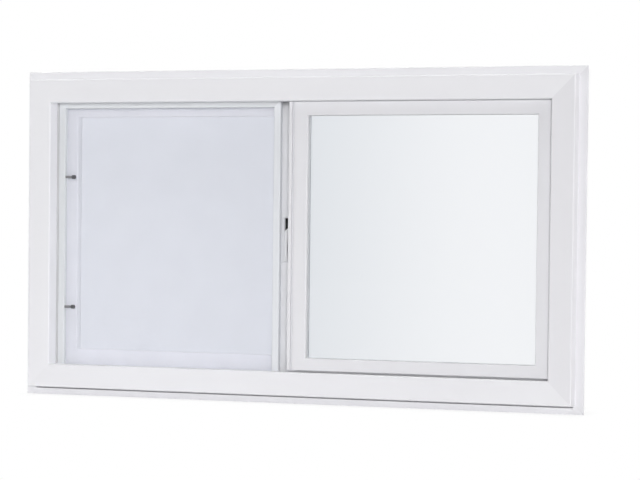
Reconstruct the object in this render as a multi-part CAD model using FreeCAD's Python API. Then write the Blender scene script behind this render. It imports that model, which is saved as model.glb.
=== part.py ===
import FreeCAD, Part
import math
import os

V = FreeCAD.Vector

# Horizontal sliding window with a half insect screen, seen from outdoors.
# X runs to the right, Y into the wall, Z up. Depths are measured from the front face, and the finished pieces
# are moved so that the origin is under the middle of the sill.

# Main frame
frame_width = 806.5
frame_height = 450.9
frame_depth = 66.7
nose_step = 11.5
nose_depth = 20.0
lip_depth = 22.0
face_width = 32.0
flange_thickness = 3.0
flange_round = 0.6
body_inset = 12.5
drip_groove = 3.2
drip_groove_depth = 12.0
drip_groove_end = 1.5
edge_round = 2.0
lip_round = 0.8
pocket_floor = 31.5
track_floor = 30.0
divider_height = 8.5
divider_thickness = 2.5
rear_lip_height = 13.5

# Sashes and their sealed glass
rebate = 9.0
sash_round = 1.5
pane_thickness = 3.0
pane_gap = 3.5
pane_edge_room = 2.0
spacer_inset = 1.0
spacer_width = 6.0
bead_nose = 1.0
bead_land = 2.5
bead_joint = 0.2
running_clearance = 5.0

# Fixed sash, in the front pocket, with a stop that stands forward inside the frame's face
fixed_left_edge = -5.6
fixed_meeting_width = 27.1
fixed_setback = 8.0
fixed_glass_recess = 5.5
fixed_seat_thickness = 12.0
stop_reach = 19.3
stop_gap = 1.0
drain_gap = 2.3
fixed_room = 1.0
interlock_rib = 4.5
interlock_groove = 3.4
interlock_depth = 4.0

# Sliding sash, in the rear track
sliding_thickness = 17.0
sliding_glass_recess = 4.5
sliding_rail_width = 27.0
sliding_stile_width = 31.0
sliding_meeting_width = 44.0
meeting_overlap = 14.0
pull_inset = 16.0
pull_thickness = 3.0
pull_height = 8.0
pull_round = 1.2
rail_strip_width = 6.0
rail_strip_height = 1.5
glide_length = 40.0
glide_width = 10.0
glide_inset = 45.0
glide_gap = 0.3

# Latch on the sliding sash
latch_left_inset = 4.7
latch_width = 22.0
latch_height = 62.4
latch_drop = 4.55
latch_proud = 0.8
latch_backing = 0.8
latch_round = 0.7
slot_inset = 7.3
slot_width = 5.2
slot_margin = 1.4
slot_floor = 1.5
lever_gap = 0.4
lever_height = 45.0
lever_slant = 4.0
lever_proud = 0.5
lever_round = 0.35
hollow_radius = 134.0
hollow_depth = 0.9
hollow_height = 17.0

# Insect screen, in the front pocket
screen_left_gap = 2.3
screen_right_gap = 17.7
screen_cover = 2.5
screen_bar = 10.0
screen_thickness = 8.0
screen_round = 1.6
mesh_thickness = 0.4
mesh_setback = 0.8
spline_groove_start = 4.0
spline_groove_width = 3.5
spline_groove_depth = 2.4

# Spring plungers on the screen
upper_plunger_inset = 105.2
lower_plunger_inset = 91.7
plunger_setback = 3.2
stem_radius = 1.8
stem_gap = 0.25
knob_radius = 2.7
knob_length = 5.5
knob_reach = 14.8
knob_chamfer = 0.7
stem_bite = 5.0
plunger_hole_depth = 8.0

# Installation screw holes through the jambs
screw_hole_radius = 2.5
screw_hole_spread = 226.0

# Levels shared by several pieces
half_width = frame_width / 2
lip_inset = nose_step + face_width
divider_front = lip_depth + fixed_seat_thickness
divider_back = divider_front + divider_thickness
sliding_front = divider_back + running_clearance
sliding_glass_front = sliding_front + sliding_glass_recess
rear_lip_front = sliding_front + sliding_thickness + running_clearance
track_middle = sliding_front + sliding_thickness / 2
latch_centre_height = frame_height / 2 - latch_drop
screen_left_edge = lip_inset - half_width + screen_left_gap
screen_right_edge = fixed_left_edge - screen_right_gap
screen_top = frame_height - lip_inset + screen_cover
plunger_heights = {"upper": screen_top - upper_plunger_inset, "lower": pocket_floor + lower_plunger_inset}
shapes = {}


def block(x0, x1, y0, y1, z0, z1):
    return Part.makeBox(x1 - x0, y1 - y0, z1 - z0, V(x0, y0, z0))


def outline(corners, place):
    # Closed wire through the corners (a, b) or (a, b, radius), rounded where a radius is given
    flat = [V(c[0], c[1], 0) for c in corners]
    radii = [c[2] if len(c) > 2 else 0 for c in corners]
    ends = []
    for i, corner in enumerate(flat):
        before = (flat[i - 1] - corner).normalize()
        after = (flat[(i + 1) % len(flat)] - corner).normalize()
        if not radii[i]:
            ends.append((corner, None, corner))
            continue
        half = before.getAngle(after) / 2
        middle = (before + after).normalize()
        centre = corner + middle * (radii[i] / math.sin(half))
        run = radii[i] / math.tan(half)
        ends.append((corner + before * run, centre - middle * radii[i], corner + after * run))
    edges = []
    for i, (first, top, last) in enumerate(ends):
        if top:
            edges.append(Part.Arc(place(first), place(top), place(last)).toShape())
        start = ends[(i + 1) % len(ends)][0]
        if (start - last).Length > 1e-6:
            edges.append(Part.LineSegment(place(last), place(start)).toShape())
    return Part.Wire(Part.__sortEdges__(edges))


def member(section, outer, inner, side):
    # One side of a rectangular frame: a section (inset, depth) run along it and mitred at both ends
    x0, z0, x1, z1 = outer
    i0, k0, i1, k1 = inner
    depths = [c[1] for c in section]
    low, high = min(depths), max(depths)
    across = V(x1 - x0, 0, 0)
    upward = V(0, 0, z1 - z0)
    places = {
        "bottom": (lambda p: V(x0, p.y, z0 + p.x), across, [(x0, z0), (x1, z0), (i1, k0), (i0, k0)]),
        "top": (lambda p: V(x0, p.y, z1 - p.x), across, [(x0, z1), (x1, z1), (i1, k1), (i0, k1)]),
        "left": (lambda p: V(x0 + p.x, p.y, z0), upward, [(x0, z0), (x0, z1), (i0, k1), (i0, k0)]),
        "right": (lambda p: V(x1 - p.x, p.y, z0), upward, [(x1, z0), (x1, z1), (i1, k1), (i1, k0)]),
    }
    place, run, plan = places[side]
    bar = Part.Face(outline(section, place)).extrude(run)
    corners = [V(x, low, z) for x, z in plan]
    mitre = Part.Face(Part.makePolygon(corners + corners[:1])).extrude(V(0, high - low, 0))
    return bar.common(mitre)


def shrink(rect, left, bottom, right, top):
    return (rect[0] + left, rect[1] + bottom, rect[2] - right, rect[3] - top)


def sheet(rect, y0, y1):
    return block(rect[0], rect[2], y0, y1, rect[1], rect[3])


def frame_members():
    # A nose, a flange behind it and a narrower body for the wall opening; the sill's body is a flat foot
    outer = (-half_width, 0, half_width, frame_height)
    inner = shrink(outer, *[lip_inset] * 4)
    section = [
        (nose_step, 0, edge_round),
        (lip_inset, 0, edge_round),
        (lip_inset, lip_depth, lip_round),
        (pocket_floor, lip_depth),
        (pocket_floor, divider_front),
        (pocket_floor + divider_height, divider_front, lip_round),
        (pocket_floor + divider_height, divider_back, lip_round),
        (track_floor, divider_back),
        (track_floor, rear_lip_front),
        (track_floor + rear_lip_height, rear_lip_front, lip_round),
        (track_floor + rear_lip_height, frame_depth, lip_round),
    ]
    flange_back = nose_depth + flange_thickness
    flanged = [
        (body_inset, frame_depth, lip_round),
        (body_inset, flange_back),
        (0, flange_back, flange_round),
        (0, nose_depth, flange_round),
        (nose_step, nose_depth),
    ]
    footed = [(0, frame_depth, lip_round), (0, nose_depth, flange_round), (nose_step, nose_depth)]
    for name, side in (("head", "top"), ("left_jamb", "left"), ("right_jamb", "right")):
        shapes[name] = member(section + flanged, outer, inner, side)
    shapes["sill"] = member(section + footed, outer, inner, "bottom")
    body_edge = half_width - body_inset
    groove_end = body_edge - drip_groove_end
    groove = (nose_depth, nose_depth + drip_groove_depth, nose_step - drip_groove, nose_step)
    shapes["sill"] = shapes["sill"].cut(block(-groove_end, groove_end, *groove))
    for name, side in (("left_jamb", -1), ("right_jamb", 1)):
        ends = sorted((side * body_edge, side * half_width))
        shapes["sill"] = shapes["sill"].cut(block(*ends, flange_back, frame_depth, 0, body_inset))
        for offset in (-screw_hole_spread / 2, screw_hole_spread / 2):
            start = V(side * body_edge, track_middle, frame_height / 2 + offset)
            hole = Part.makeCylinder(screw_hole_radius, track_floor - body_inset, start, V(-side, 0, 0))
            shapes[name] = shapes[name].cut(hole)
    for height in plunger_heights.values():
        start = V(pocket_floor - half_width, lip_depth + plunger_setback, height)
        hole = Part.makeCylinder(stem_radius + stem_gap, plunger_hole_depth, start, V(-1, 0, 0))
        shapes["left_jamb"] = shapes["left_jamb"].cut(hole)


def sill_rail():
    reach = half_width - track_floor
    y0 = track_middle - rail_strip_width / 2
    top = track_floor + rail_strip_height
    shapes["sill_rail"] = block(-reach, reach, y0, y0 + rail_strip_width, track_floor, top)


def glazed_edge(width, front, glass_front, back):
    # Rounded nose beside the glass and the rebate that the glass sits in, up to the back of the bar
    return [
        (width, front, sash_round),
        (width, glass_front),
        (width - rebate, glass_front),
        (width - rebate, back),
        (0, back, sash_round),
    ]


def glazing(name, opening, glass_front, back):
    # Sealed unit of two panes on a spacer, held from behind by four snap-in beads
    bite = rebate - pane_edge_room
    pane = shrink(opening, *[-bite] * 4)
    gap_front = glass_front + pane_thickness
    gap_back = gap_front + pane_gap
    shapes[name + "_outer_pane"] = sheet(pane, glass_front, gap_front)
    shapes[name + "_inner_pane"] = sheet(pane, gap_back, gap_back + pane_thickness)
    ring = shrink(pane, *[spacer_inset] * 4)
    hollow = shrink(ring, *[spacer_width] * 4)
    shapes[name + "_spacer"] = sheet(ring, gap_front, gap_back).cut(sheet(hollow, gap_front, gap_back))
    bead_front = gap_back + pane_thickness
    seat = shrink(opening, *[-rebate] * 4)
    section = [
        (0, bead_front),
        (rebate, bead_front),
        (rebate, bead_front + bead_nose),
        (bead_land, back),
        (0, back),
    ]
    beads = []
    for z, toward in ((seat[1], 1), (seat[3], -1)):
        wire = outline(section, lambda p: V(seat[0], p.y, z + toward * p.x))
        beads.append(Part.Face(wire).extrude(V(seat[2] - seat[0], 0, 0)))
    length = seat[3] - seat[1] - 2 * (rebate + bead_joint)
    for x, toward in ((seat[0], 1), (seat[2], -1)):
        wire = outline(section, lambda p: V(x + toward * p.x, p.y, seat[1] + rebate + bead_joint))
        beads.append(Part.Face(wire).extrude(V(0, 0, length)))
    shapes[name + "_glazing_beads"] = Part.makeCompound(beads)


def fixed_sash():
    # The seat fills the pocket behind the frame's lip, and the stop stands forward of it with a shadow gap
    glass_front = fixed_setback + fixed_glass_recess
    right = half_width - pocket_floor - fixed_room
    top = frame_height - pocket_floor - fixed_room
    outer = (fixed_left_edge, pocket_floor, right, top)
    hidden = lip_inset - pocket_floor
    gaps = {"top": stop_gap, "right": stop_gap, "bottom": drain_gap}
    widths = {
        "top": hidden - fixed_room + stop_reach,
        "right": hidden - fixed_room + stop_reach,
        "bottom": hidden + stop_reach,
    }
    opening = shrink(outer, fixed_meeting_width, widths["bottom"], widths["right"], widths["top"])
    names = {"top": "fixed_top_rail", "right": "fixed_right_stile", "bottom": "fixed_bottom_rail"}
    for side, name in names.items():
        stop_start = widths[side] - stop_reach + gaps[side]
        section = [
            (0, lip_depth),
            (stop_start, lip_depth),
            (stop_start, fixed_setback, sash_round),
        ]
        section += glazed_edge(widths[side], fixed_setback, glass_front, divider_front)
        shapes[name] = member(section, outer, opening, side)
    groove_end = interlock_rib + interlock_groove
    interlock = [
        (0, fixed_setback, lip_round),
        (interlock_rib, fixed_setback, lip_round),
        (interlock_rib, fixed_setback + interlock_depth),
        (groove_end, fixed_setback + interlock_depth),
        (groove_end, fixed_setback, lip_round),
    ]
    interlock += glazed_edge(fixed_meeting_width, fixed_setback, glass_front, divider_front)
    stile = member(interlock, outer, opening, "left")
    stop_bottom = lip_inset + drain_gap
    stop_top = frame_height - lip_inset - stop_gap
    for z0, z1 in ((outer[1], stop_bottom), (stop_top, outer[3])):
        stile = stile.cut(block(outer[0], opening[0], fixed_setback, lip_depth, z0, z1))
    shapes["fixed_meeting_stile"] = stile
    glazing("fixed", opening, glass_front, divider_front)


def sliding_outline():
    left = track_floor - half_width + running_clearance
    bottom = track_floor + rail_strip_height + running_clearance
    top = frame_height - track_floor - running_clearance
    return (left, bottom, fixed_left_edge + meeting_overlap, top)


def sliding_sash():
    outer = sliding_outline()
    rail = sliding_rail_width
    opening = shrink(outer, sliding_stile_width, rail, sliding_meeting_width, rail)
    back = sliding_front + sliding_thickness
    pull_edge = pull_inset + pull_thickness
    pull_rail = [
        (pull_edge, back),
        (pull_edge, back + pull_height, pull_round),
        (pull_inset, back + pull_height, pull_round),
        (pull_inset, back),
    ]
    bars = {
        "left": ("sliding_left_stile", sliding_stile_width),
        "right": ("sliding_meeting_stile", sliding_meeting_width),
        "top": ("sliding_top_rail", rail),
        "bottom": ("sliding_bottom_rail", rail),
    }
    for side, (name, width) in bars.items():
        section = [(0, sliding_front, sash_round)]
        section += glazed_edge(width, sliding_front, sliding_glass_front, back)
        if side == "left":
            section[-1:-1] = pull_rail
        shapes[name] = member(section, outer, opening, side)
    glazing("sliding", opening, sliding_glass_front, back)
    glide_foot = track_floor + rail_strip_height + glide_gap
    y0 = track_middle - glide_width / 2
    starts = {"left_glide": outer[0] + glide_inset, "right_glide": outer[2] - glide_inset - glide_length}
    for name, x in starts.items():
        shapes[name] = block(x, x + glide_length, y0, y0 + glide_width, glide_foot, outer[1])


def latch():
    sash = sliding_outline()
    left = sash[2] - sliding_meeting_width + latch_left_inset
    front = sliding_front - latch_proud
    floor = sliding_glass_front - latch_backing
    bottom = latch_centre_height - latch_height / 2
    body = block(left, left + latch_width, front, floor, bottom, bottom + latch_height)
    shapes["sliding_meeting_stile"] = shapes["sliding_meeting_stile"].cut(body)
    rims = [e for e in body.Edges if e.BoundBox.YMax < front + 1e-6]
    body = body.makeFillet(latch_round, rims)
    slot_left = left + slot_inset
    slot_bottom = bottom + slot_margin
    slot_top = bottom + latch_height - slot_margin
    slot = block(slot_left, slot_left + slot_width, front, floor - slot_floor, slot_bottom, slot_top)
    shapes["latch_housing"] = body.cut(slot)
    lever_left = slot_left + lever_gap
    lever_right = slot_left + slot_width - lever_gap
    lever_front = front - lever_proud
    lever_bottom = slot_bottom + lever_gap
    lever_top = lever_bottom + lever_height
    outline = [
        V(lever_left, lever_front, lever_bottom),
        V(lever_right, lever_front, lever_bottom),
        V(lever_right, lever_front, lever_top),
        V(lever_left, lever_front, lever_top - lever_slant),
    ]
    lever_depth = floor - slot_floor - lever_gap - lever_front
    lever = Part.Face(Part.makePolygon(outline + outline[:1])).extrude(V(0, lever_depth, 0))
    hollow_middle = V(lever_right + hollow_radius - hollow_depth, lever_front, lever_bottom + hollow_height)
    lever = lever.cut(Part.makeCylinder(hollow_radius, lever_depth, hollow_middle, V(0, 1, 0)))
    rims = [e for e in lever.Edges if e.BoundBox.YMax < lever_front + 1e-6]
    shapes["latch_slider"] = lever.makeFillet(lever_round, rims)


def screen():
    front = lip_depth
    back = front + screen_thickness
    outer = (screen_left_edge, pocket_floor, screen_right_edge, screen_top)
    inner = shrink(outer, *[screen_bar] * 4)
    groove_end = spline_groove_start + spline_groove_width
    groove_floor = back - spline_groove_depth
    mesh_front = back - mesh_setback
    section = [
        (0, front, screen_round),
        (screen_bar, front, screen_round),
        (screen_bar, mesh_front),
        (groove_end, mesh_front),
        (groove_end, groove_floor),
        (spline_groove_start, groove_floor),
        (spline_groove_start, back),
        (0, back, screen_round),
    ]
    sides = {"top_rail": "top", "bottom_rail": "bottom", "left_stile": "left", "right_stile": "right"}
    for name, side in sides.items():
        shapes["screen_" + name] = member(section, outer, inner, side)
    mesh = shrink(outer, *[groove_end] * 4)
    shapes["screen_mesh"] = sheet(mesh, mesh_front, mesh_front + mesh_thickness)
    groove = shrink(outer, *[spline_groove_start] * 4)
    spline = sheet(groove, groove_floor, back).cut(sheet(mesh, groove_floor, back))
    shapes["screen_spline"] = spline


def plungers():
    y = lip_depth + plunger_setback
    stile_edge = screen_left_edge + screen_bar
    tip = pocket_floor - half_width - stem_bite
    knob_start = stile_edge + knob_reach - knob_length
    for name, height in plunger_heights.items():
        start = V(screen_left_edge, y, height)
        hole = Part.makeCylinder(stem_radius + stem_gap, screen_bar, start, V(1, 0, 0))
        shapes["screen_left_stile"] = shapes["screen_left_stile"].cut(hole)
        stem = Part.makeCylinder(stem_radius, knob_start - tip, V(tip, y, height), V(1, 0, 0))
        knob = Part.makeCylinder(knob_radius, knob_length, V(knob_start, y, height), V(1, 0, 0))
        rims = [e for e in knob.Edges if e.BoundBox.XLength < 1e-6]
        knob = knob.makeChamfer(knob_chamfer, rims)
        shapes[name + "_plunger"] = stem.fuse(knob).removeSplitter()


frame_members()
sill_rail()
fixed_sash()
sliding_sash()
latch()
screen()
plungers()

os.makedirs("parts", exist_ok=True)
for name, shape in shapes.items():
    shape.translate(V(0, -frame_depth / 2, 0))
    shape.exportStep("parts/" + name + ".step")
    print(name, len(shape.Solids), shape.isValid(), round(shape.Volume / 1000, 1))
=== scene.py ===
import bpy
import bmesh
import math
from mathutils import Matrix, Vector


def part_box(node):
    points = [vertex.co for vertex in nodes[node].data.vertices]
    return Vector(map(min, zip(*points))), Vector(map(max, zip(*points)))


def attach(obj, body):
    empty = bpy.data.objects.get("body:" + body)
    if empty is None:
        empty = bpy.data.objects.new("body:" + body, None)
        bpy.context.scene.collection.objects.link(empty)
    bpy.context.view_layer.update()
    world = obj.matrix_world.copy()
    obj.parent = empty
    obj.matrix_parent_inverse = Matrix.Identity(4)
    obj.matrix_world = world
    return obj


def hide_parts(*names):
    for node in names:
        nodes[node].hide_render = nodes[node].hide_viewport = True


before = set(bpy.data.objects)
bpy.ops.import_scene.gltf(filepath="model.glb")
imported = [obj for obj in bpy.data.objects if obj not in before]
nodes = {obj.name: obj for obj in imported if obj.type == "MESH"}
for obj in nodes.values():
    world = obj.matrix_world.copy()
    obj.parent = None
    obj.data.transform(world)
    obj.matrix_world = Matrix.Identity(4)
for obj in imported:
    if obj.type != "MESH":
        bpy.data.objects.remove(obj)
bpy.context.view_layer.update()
scene = bpy.context.scene
scene.view_settings.view_transform = "Standard"
print("frame loaded,", len(nodes), "nodes")

# Helpers for node trees and pieces

noiseSpan = (0.3, 0.7)  # the middle of a noise field, stretched to the range asked for
xAxis, zAxis = 0, 2


def addNode(tree, kind, **sockets):
    made = tree.nodes.new("ShaderNode" + kind)
    for socketName, value in sockets.items():
        made.inputs[socketName].default_value = value
    return made


def newMaterial(name):
    material = bpy.data.materials.new(name)
    material.use_nodes = True
    return material, material.node_tree, material.node_tree.nodes["Principled BSDF"]


def objectPlace(tree, stretch=(1, 1, 1)):
    place = addNode(tree, "TexCoord")
    mapping = addNode(tree, "Mapping", Scale=stretch)
    tree.links.new(place.outputs["Object"], mapping.inputs["Vector"])
    return mapping.outputs["Vector"]


def noiseField(tree, place, scale, detail=3.0):
    noise = addNode(tree, "TexNoise", Scale=scale, Detail=detail)
    tree.links.new(place, noise.inputs["Vector"])
    return noise.outputs["Fac"]


def mapRange(tree, value, span, result, kind):
    ranged = addNode(tree, "MapRange")
    ranged.interpolation_type = kind
    for socketName, number in zip(("From Min", "From Max", "To Min", "To Max"), (*span, *result)):
        ranged.inputs[socketName].default_value = number
    tree.links.new(value, ranged.inputs["Value"])
    return ranged.outputs["Result"]


def spread(tree, noise, result=(0.0, 1.0)):
    return mapRange(tree, noise, noiseSpan, result, "LINEAR")


def smoothRange(tree, value, span, result=(0.0, 1.0)):
    return mapRange(tree, value, span, result, "SMOOTHSTEP")


def mixColours(tree, factor, first, second):
    mix = addNode(tree, "Mix")
    mix.data_type = "RGBA"
    tree.links.new(factor, mix.inputs["Factor"])
    for socket, colour in ((mix.inputs["A"], first), (mix.inputs["B"], second)):
        if isinstance(colour, tuple):
            socket.default_value = (*colour, 1)
        else:
            tree.links.new(colour, socket)
    return mix.outputs["Result"]


def mixShaders(tree, factor, first, second):
    mix = addNode(tree, "MixShader")
    tree.links.new(factor, mix.inputs["Fac"])
    tree.links.new(first, mix.inputs[1])
    tree.links.new(second, mix.inputs[2])
    return mix.outputs["Shader"]


def addBump(tree, height, distance, strength, below=None):
    bump = addNode(tree, "Bump", Distance=distance, Strength=strength)
    tree.links.new(height, bump.inputs["Height"])
    if below is not None:
        tree.links.new(below, bump.inputs["Normal"])
    return bump.outputs["Normal"]


def dress(material, *names):
    for name in names:
        nodes[name].data.materials.clear()
        nodes[name].data.materials.append(material)


def centredBox(bm, centre, size):
    bmesh.ops.create_cube(bm, size=1.0, matrix=Matrix.LocRotScale(centre, None, size))


def cornerBox(bm, low, high):
    low, high = Vector(low), Vector(high)
    centredBox(bm, (low + high) / 2, high - low)


def newObject(bm, name, material):
    mesh = bpy.data.meshes.new(name)
    bm.to_mesh(mesh)
    bm.free()
    mesh.materials.append(material)
    made = bpy.data.objects.new(name, mesh)
    scene.collection.objects.link(made)
    return made


def newPiece(bm, name, material, body):
    piece = newObject(bm, name, material)
    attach(piece, body)
    return piece


# White vinyl, with faint die lines along each extrusion

# The bars' whites differ as painted light and shade: the frame's white suits every bar, and the other entries
# are lit or shaded copies of it.
vinyl = {
    "frame": ((0.872, 0.869, 0.892), (0.856, 0.853, 0.878)),  # pale and deep shade
    # painted shade: the right jamb set darker than the frame
    "rightJambShaded": ((0.812, 0.806, 0.832), (0.798, 0.792, 0.819)),
    # painted shade: the sill set a little darker than the frame
    "sill": ((0.857, 0.854, 0.877), (0.842, 0.839, 0.863)),
    # painted shade: the fixed sash set darker than the frame
    "fixed": ((0.816, 0.813, 0.838), (0.800, 0.797, 0.823)),
    # painted light: the sliding sash set paler than the frame
    "sliding": ((0.888, 0.887, 0.900), (0.873, 0.872, 0.887)),
    "mottleScale": 7.0,
    "lineScale": 5.0,
    "lineDetail": 2.0,
    "lineStretch": 70.0,  # across the bar, so a line runs along it
    "lineDepth": 0.00006,
    "lineStrength": 0.35,
    "grainScale": 1500.0,
    "grainDetail": 1.0,
    "grainDepth": 0.00002,
    "grainStrength": 0.5,
    "roughness": (0.34, 0.46),
}


def vinylFinish(name, shades, stretch):
    material, tree, surface = newMaterial(name)
    place = objectPlace(tree)
    along = objectPlace(tree, stretch)
    mottle = noiseField(tree, place, vinyl["mottleScale"])
    dieLines = noiseField(tree, along, vinyl["lineScale"], vinyl["lineDetail"])
    grain = noiseField(tree, place, vinyl["grainScale"], vinyl["grainDetail"])
    lined = addBump(tree, dieLines, vinyl["lineDepth"], vinyl["lineStrength"])
    grained = addBump(tree, grain, vinyl["grainDepth"], vinyl["grainStrength"], lined)
    tree.links.new(mixColours(tree, spread(tree, mottle), *shades), surface.inputs["Base Color"])
    tree.links.new(spread(tree, dieLines, vinyl["roughness"]), surface.inputs["Roughness"])
    tree.links.new(grained, surface.inputs["Normal"])
    return material


level = (1, vinyl["lineStretch"], vinyl["lineStretch"])
upright = (vinyl["lineStretch"], vinyl["lineStretch"], 1)
vinylPieces = {
    "head": ("frame", level, ("head",)),
    "sill": ("sill", level, ("sill", "sill_rail")),
    "left_jamb": ("frame", upright, ("left_jamb",)),
    "right_jamb": ("rightJambShaded", upright, ("right_jamb",)),
    "fixed_level": ("fixed", level, ("fixed_top_rail", "fixed_bottom_rail", "fixed_glazing_beads")),
    "fixed_upright": ("fixed", upright, ("fixed_meeting_stile", "fixed_right_stile")),
    "sliding_level": ("sliding", level, ("sliding_top_rail", "sliding_bottom_rail", "sliding_glazing_beads")),
    "sliding_upright": ("sliding", upright, ("sliding_left_stile", "sliding_meeting_stile")),
}
for name, (shade, stretch, bars) in vinylPieces.items():
    dress(vinylFinish(name + "_vinyl", vinyl[shade], stretch), *bars)
print("vinyl dressed")

# Sealed glass units

glass = {
    "tint": (0.938, 0.946, 0.958),
    "ior": 1.5,
    "passed": (0.86, 0.875, 0.885),  # the share of lamp light that goes through a pane
    "panes": ("fixed_outer_pane", "fixed_inner_pane", "sliding_outer_pane", "sliding_inner_pane"),
}


def glassFinish():
    material, tree, surface = newMaterial("float_glass")
    surface.inputs["Base Color"].default_value = (*glass["tint"], 1)
    surface.inputs["Roughness"].default_value = 0.0
    surface.inputs["IOR"].default_value = glass["ior"]
    surface.inputs["Transmission Weight"].default_value = 1.0
    path = addNode(tree, "LightPath")
    clear = addNode(tree, "BsdfTransparent", Color=(*glass["passed"], 1))
    pane = mixShaders(tree, path.outputs["Is Shadow Ray"], surface.outputs["BSDF"], clear.outputs["BSDF"])
    tree.links.new(pane, tree.nodes["Material Output"].inputs["Surface"])
    return material


dress(glassFinish(), *glass["panes"])
print("glass dressed")

# Spacer bars, screen frame, latch, glides and spline, with painted light on the spacers and lever and painted
# shade on two screen bars

smallGrain = {"finer": 40, "detail": 2.0, "strength": 0.4}  # so many times finer than the clouds


def moulded(name, pale, deep, roughness, cloudScale, grainDepth=0.00003, metallic=0.0):
    material, tree, surface = newMaterial(name)
    place = objectPlace(tree)
    cloud = noiseField(tree, place, cloudScale)
    grain = noiseField(tree, place, cloudScale * smallGrain["finer"], smallGrain["detail"])
    grained = addBump(tree, grain, grainDepth, smallGrain["strength"])
    tree.links.new(mixColours(tree, spread(tree, cloud), pale, deep), surface.inputs["Base Color"])
    tree.links.new(spread(tree, grain, roughness), surface.inputs["Roughness"])
    tree.links.new(grained, surface.inputs["Normal"])
    surface.inputs["Metallic"].default_value = metallic
    return material


smallFinishes = {
    # painted light: the spacers are set near white to lift the shade along the glass edges
    "spacer_metal": {
        "pale": (0.92, 0.923, 0.93),
        "deep": (0.89, 0.893, 0.90),
        "roughness": (0.38, 0.55),
        "cloudScale": 30.0,
        "metallic": 0.1,
    },
    "screen_enamel": {
        "pale": (0.825, 0.842, 0.868),
        "deep": (0.808, 0.825, 0.852),
        "roughness": (0.3, 0.42),
        "cloudScale": 22.0,
    },
    # painted shade: the screen's top rail and left stile get a darker copy of the enamel
    "painted_shade_enamel": {
        "pale": (0.726, 0.745, 0.760),
        "deep": (0.711, 0.730, 0.746),
        "roughness": (0.3, 0.42),
        "cloudScale": 22.0,
    },
    "latch_plastic": {
        "pale": (0.845, 0.845, 0.862),
        "deep": (0.825, 0.825, 0.845),
        "roughness": (0.38, 0.5),
        "cloudScale": 40.0,
    },
    # painted highlight: the lever's plastic is set paler than the housing's
    "lever_plastic_painted_highlight": {
        "pale": (0.925, 0.925, 0.935),
        "deep": (0.905, 0.905, 0.918),
        "roughness": (0.36, 0.48),
        "cloudScale": 40.0,
    },
    "glide_nylon": {
        "pale": (0.80, 0.80, 0.77),
        "deep": (0.76, 0.76, 0.73),
        "roughness": (0.5, 0.62),
        "cloudScale": 60.0,
    },
    "spline_rubber": {
        "pale": (0.80, 0.805, 0.815),
        "deep": (0.76, 0.765, 0.775),
        "roughness": (0.6, 0.75),
        "cloudScale": 60.0,
        "grainDepth": 0.00005,
    },
}
smallPieces = {
    "spacer_metal": ("fixed_spacer", "sliding_spacer"),
    "screen_enamel": ("screen_bottom_rail", "screen_right_stile"),
    "painted_shade_enamel": ("screen_top_rail", "screen_left_stile"),
    "latch_plastic": ("latch_housing",),
    "lever_plastic_painted_highlight": ("latch_slider",),
    "glide_nylon": ("left_glide", "right_glide"),
    "spline_rubber": ("screen_spline",),
}
for name, pieces in smallPieces.items():
    dress(moulded(name, **smallFinishes[name]), *pieces)
print("small parts dressed")

# Spring plungers: a plated pin, a grey stem and a dark knob with turned rings

plunger = {
    "pin": (0.72, 0.72, 0.73),
    "stem": (0.27, 0.27, 0.275),
    "knob": (0.115, 0.116, 0.12),
    "knobLength": 0.0055,
    "blend": 0.0003,
    "grainScale": 3000.0,
    "grainDetail": 2.0,
    "roughness": (0.3, 0.45),
    "metallic": 0.5,
    "ringScale": 700.0,  # a ring about every 0.45 mm
    "ringDepth": 0.00012,
    "ringStrength": 0.4,
}


def plungerFinish():
    material, tree, surface = newMaterial("plunger_steel")
    place = objectPlace(tree)
    axes = addNode(tree, "SeparateXYZ")
    tree.links.new(place, axes.inputs["Vector"])
    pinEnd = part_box("screen_left_stile")[0].x
    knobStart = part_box("upper_plunger")[1].x - plunger["knobLength"]
    pastPin = smoothRange(tree, axes.outputs["X"], (pinEnd, pinEnd + plunger["blend"]))
    onKnob = smoothRange(tree, axes.outputs["X"], (knobStart, knobStart + plunger["blend"]))
    shaft = mixColours(tree, pastPin, plunger["pin"], plunger["stem"])
    grain = noiseField(tree, place, plunger["grainScale"], plunger["grainDetail"])
    rings = addNode(tree, "TexWave", Scale=plunger["ringScale"])
    tree.links.new(place, rings.inputs["Vector"])
    turned = addBump(tree, rings.outputs["Fac"], plunger["ringDepth"], plunger["ringStrength"])
    tree.links.new(mixColours(tree, onKnob, shaft, plunger["knob"]), surface.inputs["Base Color"])
    tree.links.new(spread(tree, grain, plunger["roughness"]), surface.inputs["Roughness"])
    tree.links.new(turned, surface.inputs["Normal"])
    surface.inputs["Metallic"].default_value = plunger["metallic"]
    return material


dress(plungerFinish(), "upper_plunger", "lower_plunger")
print("plungers dressed")

# Insect cloth: two crossing layers of straight strands

cloth = {
    "pitch": 0.00106,
    "strand": 0.00034,
    "layerShift": 1 / 3,  # of a strand, so the layers bite into each other where they cross
    "finish": {
        "pale": (0.835, 0.845, 0.915),
        "deep": (0.80, 0.81, 0.88),
        "roughness": (0.45, 0.6),
        "cloudScale": 25.0,
        "grainDepth": 0.00002,
    },
}


def strandLayer(bm, low, high, along, across, y):
    side, pitch = cloth["strand"], cloth["pitch"]
    count = math.floor((high[across] - low[across] - side) / pitch)
    margin = (high[across] - low[across] - count * pitch) / 2
    size = Vector((side, side, side))
    size[along] = high[along] - low[along]
    centre = (low + high) / 2
    centre.y = y
    for strand in range(count + 1):
        centre[across] = low[across] + margin + strand * pitch
        centredBox(bm, centre, size)
    return count + 1


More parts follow.
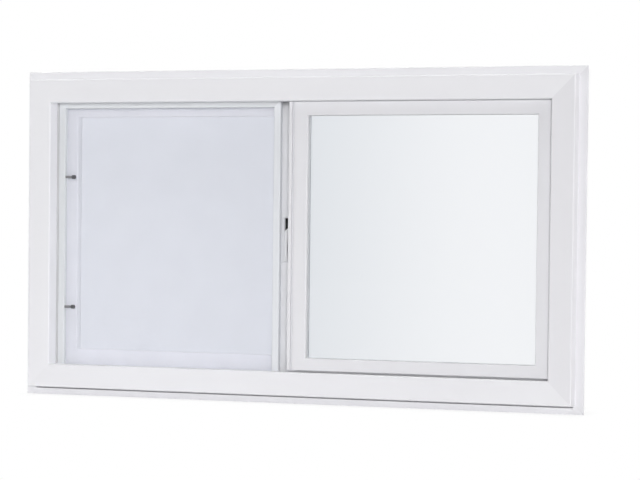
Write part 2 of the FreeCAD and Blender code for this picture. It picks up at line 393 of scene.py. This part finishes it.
def insectCloth():
    low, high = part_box("screen_mesh")
    middle = (low.y + high.y) / 2
    shift = cloth["strand"] * cloth["layerShift"]
    bm = bmesh.new()
    upCount = strandLayer(bm, low, high, zAxis, xAxis, middle - shift)
    acrossCount = strandLayer(bm, low, high, xAxis, zAxis, middle + shift)
    finish = moulded("cloth_strand", **cloth["finish"])
    piece = newPiece(bm, "insect_cloth", finish, "frame")
    piece.visible_shadow = False  # so fine that what lies behind stays evenly lit
    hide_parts("screen_mesh")
    print("insect cloth,", upCount, "by", acrossCount, "strands")


insectCloth()

# Thin grey strips in the gaps: a fin over the screen pocket's mouth, gaskets between the fixed stop and the
# frame; their grey is painted shade for the gap lines

seals = {
    # painted shade: the strips' grey stands for the shade in the gaps
    "gasketShade": {"pale": (0.64, 0.64, 0.655), "deep": (0.615, 0.615, 0.63)},
    "finShade": {"pale": (0.60, 0.60, 0.615), "deep": (0.57, 0.57, 0.585)},
    "surface": {"roughness": (0.5, 0.6), "cloudScale": 30.0, "grainDepth": 0.00002},
    "lipInset": 0.0435,  # from the frame's outline to its inner face
    "pocketInset": 0.0315,  # from the outline to the pocket's floor
    "finGap": 0.0001,
    "finThickness": 0.0009,
    "stopGap": 0.001,
    "drainGap": 0.0023,
    "gasketFront": 0.0100,  # both set back from the front of the nose
    "gasketBack": 0.0135,
    "bite": 0.0001,
}


def pocketFin():
    stileLow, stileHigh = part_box("screen_left_stile")
    left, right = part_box("left_jamb")[0].x + seals["pocketInset"], stileLow.x + seals["bite"]
    front = stileLow.y + seals["finGap"]
    back = front + seals["finThickness"]
    bm = bmesh.new()
    cornerBox(bm, (left, front, stileLow.z), (right, back, stileHigh.z))
    finish = moulded("fin_painted_shade", **seals["finShade"], **seals["surface"])
    newPiece(bm, "pocket_fin", finish, "frame")


def stopGaskets():
    low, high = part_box("left_jamb")[0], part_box("right_jamb")[1]
    bite = seals["bite"]
    front, back = low.y + seals["gasketFront"], low.y + seals["gasketBack"]
    right, top = high.x - seals["lipInset"], high.z - seals["lipInset"]
    innerRight, innerTop = right - seals["stopGap"], top - seals["stopGap"]
    bottom = low.z + seals["lipInset"] + seals["drainGap"]
    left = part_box("fixed_meeting_stile")[0].x
    bm = bmesh.new()
    cornerBox(bm, (left, front, innerTop - bite), (right + bite, back, top + bite))
    cornerBox(bm, (innerRight - bite, front, bottom), (right + bite, back, innerTop))
    finish = moulded("gasket_painted_shade", **seals["gasketShade"], **seals["surface"])
    newPiece(bm, "stop_gaskets", finish, "frame")


pocketFin()
stopGaskets()
print("thin seals set")

# Small keys that close the mitred corners of the glazing rebates

cornerKeys = {"rebate": 0.009, "thickness": 0.002, "recess": 0.00015}
sashSides = {
    "fixed": {
        "stiles": ("fixed_meeting_stile", "fixed_right_stile"),  # left and right
        "rails": ("fixed_bottom_rail", "fixed_top_rail"),
        "body": "frame",
    },
    "sliding": {
        "stiles": ("sliding_left_stile", "sliding_meeting_stile"),
        "rails": ("sliding_bottom_rail", "sliding_top_rail"),
        "body": "sliding_sash",
    },
}


def glazingKeys(sash, stiles, rails, body):
    reach = cornerKeys["rebate"]
    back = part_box(rails[0])[1].y - cornerKeys["recess"]
    front = back - cornerKeys["thickness"]
    bm = bmesh.new()
    for stile, outX in zip(stiles, (-1, 1)):
        stileLow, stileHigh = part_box(stile)
        x = stileHigh.x if outX < 0 else stileLow.x
        for rail, outZ in zip(rails, (-1, 1)):
            railLow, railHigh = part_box(rail)
            z = railHigh.z if outZ < 0 else railLow.z
            slope = (railHigh.z - railLow.z) / (stileHigh.x - stileLow.x)
            xs = sorted((x + outX * reach, x + outX * reach / slope))
            zs = sorted((z + outZ * reach, z + outZ * reach * slope))
            cornerBox(bm, (xs[0], front, zs[0]), (xs[1], back, zs[1]))
    newPiece(bm, sash + "_glazing_keys", nodes[rails[0]].data.materials[0], body)


for sash, sides in sashSides.items():
    glazingKeys(sash, **sides)
print("glazing keys set")

# Painted shade: a near-black sheet on the latch slot's floor, for the shade of the deep slot

slotShadeSheet = {
    "fromLeft": 0.0073,  # from the housing's left side to the slot
    "width": 0.0052,
    "wall": 0.0014,
    "floor": 0.0015,
    "inset": 0.0003,
    "thickness": 0.0002,
    "finish": {
        "pale": (0.014, 0.014, 0.015),
        "deep": (0.01, 0.01, 0.011),
        "roughness": (0.6, 0.8),
        "cloudScale": 80.0,
    },
}


def latchSlotShadeSheet():
    low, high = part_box("latch_housing")
    size = Vector((
        slotShadeSheet["width"] - 2 * slotShadeSheet["inset"],
        slotShadeSheet["thickness"],
        high.z - low.z - 2 * (slotShadeSheet["wall"] + slotShadeSheet["inset"]),
    ))
    left = low.x + slotShadeSheet["fromLeft"] + slotShadeSheet["inset"]
    back = high.y - slotShadeSheet["floor"]
    bm = bmesh.new()
    centredBox(bm, Vector((left + size.x / 2, back - size.y / 2, (low.z + high.z) / 2)), size)
    newPiece(bm, "latch_slot_shade_sheet", moulded("slot_painted_shade", **slotShadeSheet["finish"]), "sliding_sash")


latchSlotShadeSheet()
print("latch slot shade sheet set")

# Floor, world, lamps and camera

studio = {
    "floorRadius": 7.0,
    "floorSegments": 96,
    "footprint": (0.385, 0.03, 0.0),  # half sizes, where the contact shadow is deepest
    "shadowReach": 0.035,
    "shadowShare": 0.12,
    "floorColour": (0.86, 0.86, 0.87),
    "floorGlow": 0.09,  # a light table, for what the floor gives back
    "ambient": 0.02,
    "ambientColour": (0.985, 0.985, 1.0),
    "dimSide": (0.800, 0.822, 0.845),  # what the glass shows towards the back left
    "dimSpan": (-0.40, -0.285),
}
white = (1.0, 1.0, 1.0)


def anyOf(tree, *rays):
    path = addNode(tree, "LightPath")
    total = path.outputs[rays[0]]
    for ray in rays[1:]:
        larger = addNode(tree, "Math")
        larger.operation = "MAXIMUM"
        tree.links.new(total, larger.inputs[0])
        tree.links.new(path.outputs[ray], larger.inputs[1])
        total = larger.outputs["Value"]
    return total


def vectorStep(tree, operation, vector, other=(0, 0, 0)):
    step = addNode(tree, "VectorMath")
    step.operation = operation
    tree.links.new(vector, step.inputs[0])
    step.inputs[1].default_value = other
    return step


def floorFinish():
    material = bpy.data.materials.new("pale_floor")
    material.use_nodes = True
    tree = material.node_tree
    tree.nodes.clear()
    place = addNode(tree, "TexCoord")
    outside = vectorStep(tree, "ABSOLUTE", place.outputs["Object"])
    outside = vectorStep(tree, "SUBTRACT", outside.outputs["Vector"], studio["footprint"])
    outside = vectorStep(tree, "MAXIMUM", outside.outputs["Vector"])
    distance = vectorStep(tree, "LENGTH", outside.outputs["Vector"]).outputs["Value"]
    near = smoothRange(tree, distance, (0.0, studio["shadowReach"]), (studio["shadowShare"], 0.0))
    matt = addNode(tree, "BsdfDiffuse", Color=(*studio["floorColour"], 1))
    table = addNode(tree, "Emission", Color=(*white, 1), Strength=studio["floorGlow"])
    plain = addNode(tree, "AddShader")
    tree.links.new(matt.outputs["BSDF"], plain.inputs[0])
    tree.links.new(table.outputs["Emission"], plain.inputs[1])
    shaded = addNode(tree, "BsdfDiffuse", Color=(*white, 1))
    glow = addNode(tree, "Emission", Color=(*white, 1), Strength=1.0)
    seen = mixShaders(tree, near, glow.outputs["Emission"], shaded.outputs["BSDF"])
    looking = anyOf(tree, "Is Camera Ray", "Is Glossy Ray", "Is Transmission Ray")
    output = addNode(tree, "OutputMaterial")
    tree.links.new(mixShaders(tree, looking, plain.outputs["Shader"], seen), output.inputs["Surface"])
    return material


def paleFloor():
    bm = bmesh.new()
    bmesh.ops.create_circle(bm, cap_ends=True, segments=studio["floorSegments"], radius=studio["floorRadius"])
    floor = newObject(bm, "floor", floorFinish())
    floor.visible_transmission = False  # through the glass the backdrop runs on down


def whiteWorld():
    world = bpy.data.worlds.new("studio_white")
    world.use_nodes = True
    scene.world = world
    tree = world.node_tree
    tree.nodes.clear()
    direction = addNode(tree, "TexCoord")
    axes = addNode(tree, "SeparateXYZ")
    tree.links.new(direction.outputs["Generated"], axes.inputs["Vector"])
    side = smoothRange(tree, axes.outputs["X"], studio["dimSpan"])
    ambient = addNode(tree, "Background", Color=(*studio["ambientColour"], 1), Strength=studio["ambient"])
    backdrop = addNode(tree, "Background", Strength=1.0)
    tree.links.new(mixColours(tree, side, studio["dimSide"], white), backdrop.inputs["Color"])
    plain = addNode(tree, "Background", Color=(*white, 1), Strength=1.0)
    inGlass = anyOf(tree, "Is Glossy Ray", "Is Transmission Ray")
    unseen = mixShaders(tree, inGlass, ambient.outputs["Background"], backdrop.outputs["Background"])
    sky = mixShaders(tree, anyOf(tree, "Is Camera Ray"), unseen, plain.outputs["Background"])
    output = addNode(tree, "OutputWorld")
    tree.links.new(sky, output.inputs["Surface"])


lamps = {
    "camera_fill": {"place": (9.5, -22.8, 2.9), "size": 4.5, "watts": 2860.0},
    "right_key": {"place": (7.9, -9.1, 0.9), "size": 1.5, "watts": 80.0},
    "left_key": {"place": (-2.8, -1.9, 1.0), "size": 1.6, "watts": 11.0},
    "left_fill": {"place": (-3.0, 0.5, 0.8), "size": 1.0, "watts": 24.0},
    "right_fill": {"place": (3.0, -0.42, 0.6), "size": 1.0, "watts": 22.0},
    "top_key": {"place": (-0.2, -0.3, 2.9), "size": 1.0, "watts": 36.0},
    "back_fill": {"place": (1.2, 5.0, 1.6), "size": 2.0, "watts": 120.0},
}
lampAim = Vector((0.0, 0.0, 0.225))  # the middle of the window


def softLamp(name, lamp):
    data = bpy.data.lights.new(name, "AREA")
    data.shape = "SQUARE"
    data.size = lamp["size"]
    data.energy = lamp["watts"]
    light = bpy.data.objects.new(name, data)
    scene.collection.objects.link(light)
    light.location = lamp["place"]
    light.visible_camera = light.visible_glossy = light.visible_transmission = False
    light.rotation_mode = "QUATERNION"
    light.rotation_quaternion = (lampAim - light.location).to_track_quat("-Z", "Y")


photoCamera = {
    "place": (1.1911, -3.03255, 0.2435),
    "turn": (88.028, -0.648, 20.936),  # pitch from straight down, roll, yaw in degrees
    "lens": 135.37,
    "sensor": 36.0,
    "shiftUp": 0.10386,
}


def viewCamera():
    data = bpy.data.cameras.new("photo_view")
    data.sensor_width = photoCamera["sensor"]
    data.lens = photoCamera["lens"]
    data.shift_y = photoCamera["shiftUp"]
    camera = bpy.data.objects.new("photo_view", data)
    scene.collection.objects.link(camera)
    camera.location = photoCamera["place"]
    camera.rotation_euler = [math.radians(angle) for angle in photoCamera["turn"]]
    scene.camera = camera


paleFloor()
whiteWorld()
for lampName, lamp in lamps.items():
    softLamp(lampName, lamp)
viewCamera()
print("studio set")
